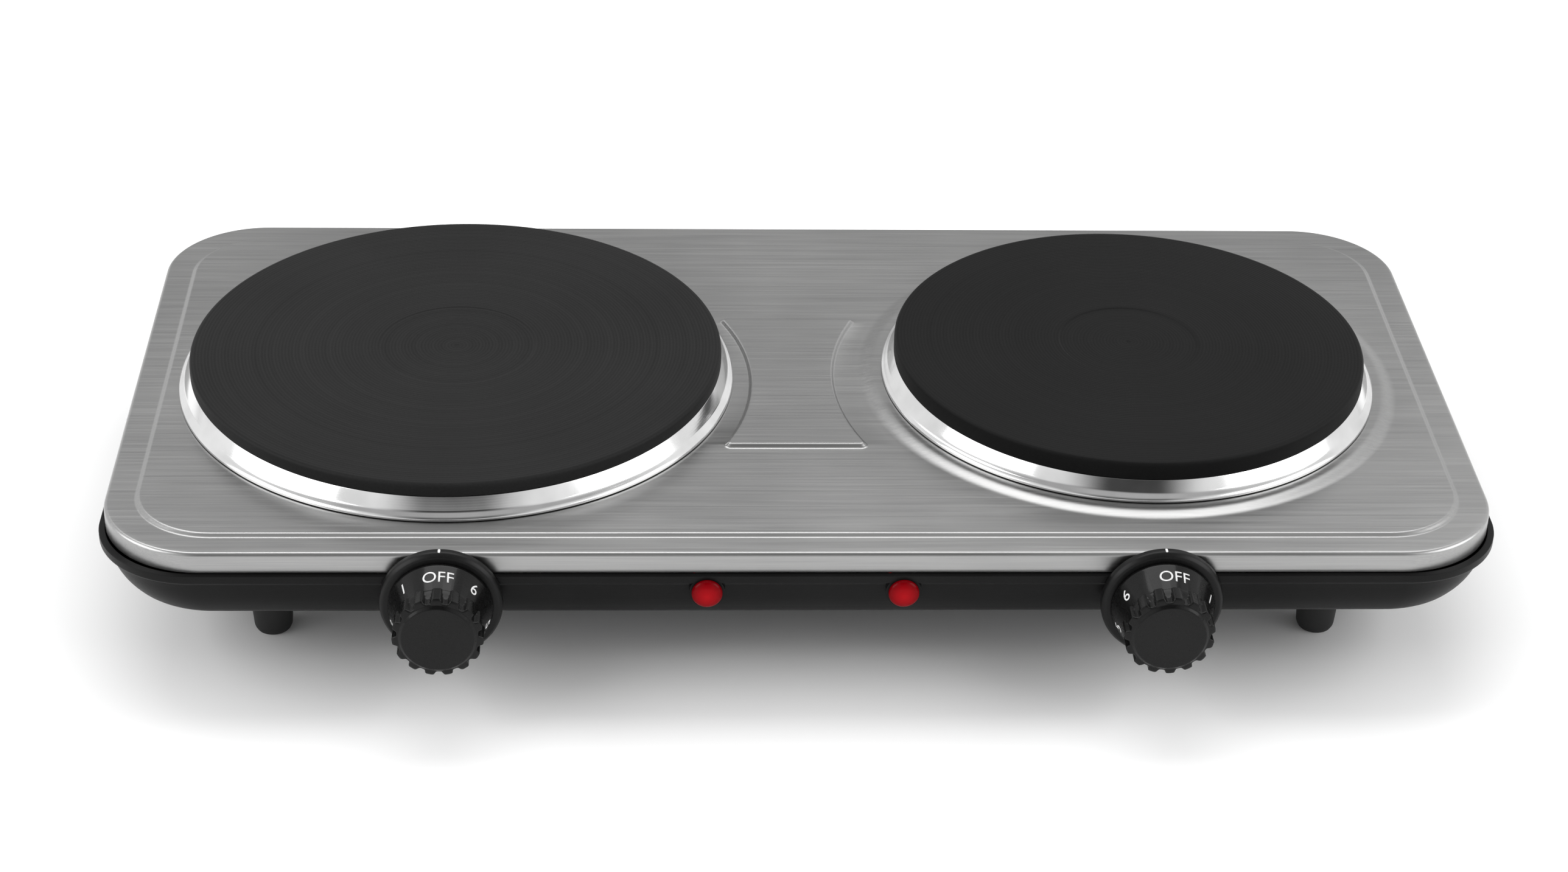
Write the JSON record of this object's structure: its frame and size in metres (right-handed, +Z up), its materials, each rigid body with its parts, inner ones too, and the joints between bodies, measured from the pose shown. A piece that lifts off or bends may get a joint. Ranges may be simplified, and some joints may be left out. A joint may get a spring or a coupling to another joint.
{
  "type": "hot plate burner",
  "caption": "Free-standing electric hot plate with a larger and a smaller round iron plate, a steel cover on a black base, turned knobs and red lamps.",
  "frame": {"origin": "bottom centre of the object's box, on the surface that the feet stand on", "axes": "+X to the right seen from the knobs, +Y from the knobs to the back, +Z up"},
  "size_m": [0.4636, 0.2618, 0.069],
  "materials": {
    "brushed_steel": "brushed from side to side",
    "chromed_steel": "polished",
    "cast_iron": "matt, fine concentric grooves",
    "black_moulding": "semi-matt black",
    "black_gloss": "gloss black",
    "red_lens": "clear red",
    "lamp_glass": "clear",
    "rubber": "matt",
    "ceramic": "unglazed",
    "zinc_steel": "zinc plated",
    "brass": "plain",
    "mica": "pressed sheet",
    "coil_wire": "oxidised",
    "lead_sleeve": "woven sleeve"
  },
  "bodies": {
    "housing": {"base_pan": "black_moulding", "cord_gland": "rubber", "cover_post_front_left": "zinc_steel", "cover_post_front_right": "zinc_steel", "cover_post_rear_left": "zinc_steel", "cover_post_rear_right": "zinc_steel", "foot_front_left": "rubber", "foot_front_right": "rubber", "foot_rear_left": "rubber", "foot_rear_right": "rubber", "foot_screw_front_left": "zinc_steel", "foot_screw_front_right": "zinc_steel", "foot_screw_rear_left": "zinc_steel", "foot_screw_rear_right": "zinc_steel", "left_bezel": "black_moulding", "left_clamp_bridge": "zinc_steel", "left_clamp_nut": "zinc_steel", "left_fixed_contact": "brass", "left_heat_shield": "zinc_steel", "left_heating_coil": "coil_wire", "left_hotplate": "cast_iron", "left_lamp_lens": "red_lens", "left_lead": "lead_sleeve", "left_mica_disc": "mica", "left_neon_lamp": "lamp_glass", "left_pivot_pin": "zinc_steel", "left_plate_stud": "zinc_steel", "left_plate_terminal": "ceramic", "left_thermostat_bracket": "zinc_steel", "left_thermostat_ceramic": "ceramic", "left_trim_ring": "chromed_steel", "mains_terminal_block": "ceramic", "right_bezel": "black_moulding", "right_clamp_bridge": "zinc_steel", "right_clamp_nut": "zinc_steel", "right_fixed_contact": "brass", "right_heat_shield": "zinc_steel", "right_heating_coil": "coil_wire", "right_hotplate": "cast_iron", "right_lamp_lens": "red_lens", "right_lead": "lead_sleeve", "right_mica_disc": "mica", "right_neon_lamp": "lamp_glass", "right_pivot_pin": "zinc_steel", "right_plate_stud": "zinc_steel", "right_plate_terminal": "ceramic", "right_thermostat_bracket": "zinc_steel", "right_thermostat_ceramic": "ceramic", "right_trim_ring": "chromed_steel", "top_cover": "brushed_steel"},
    "left_knob_assembly": {"left_knob": "black_gloss", "left_spindle": "brass", "left_cam": "mica"},
    "right_knob_assembly": {"right_knob": "black_gloss", "right_spindle": "brass", "right_cam": "mica"},
    "left_contact_blade": {"left_contact_arm": "brass"},
    "right_contact_blade": {"right_contact_arm": "brass"}
  },
  "joints": [
    {"name": "left_knob_turn", "type": "hinge", "parent": "housing", "child": "left_knob_assembly", "pos_m": [-0.118, -0.11225, 0.0374], "axis": [0, 1, 0], "range_deg": [0, 310]},
    {"name": "left_contact_lift", "type": "hinge", "parent": "housing", "child": "left_contact_blade", "pos_m": [-0.1, -0.08405, 0.0438], "axis": [0, 1, 0], "range_deg": [0, 6.37]},
    {"name": "right_knob_turn", "type": "hinge", "parent": "housing", "child": "right_knob_assembly", "pos_m": [0.1164, -0.11225, 0.0374], "axis": [0, 1, 0], "range_deg": [-7, 303]},
    {"name": "right_contact_lift", "type": "hinge", "parent": "housing", "child": "right_contact_blade", "pos_m": [0.1344, -0.08405, 0.0438], "axis": [0, 1, 0], "range_deg": [-0.15, 6.23]}
  ],
  "couplings": [
    {"joint": "left_contact_lift", "follows": "left_knob_turn", "ratio": 0.020536},
    {"joint": "right_contact_lift", "follows": "right_knob_turn", "ratio": 0.020536}
  ]
}
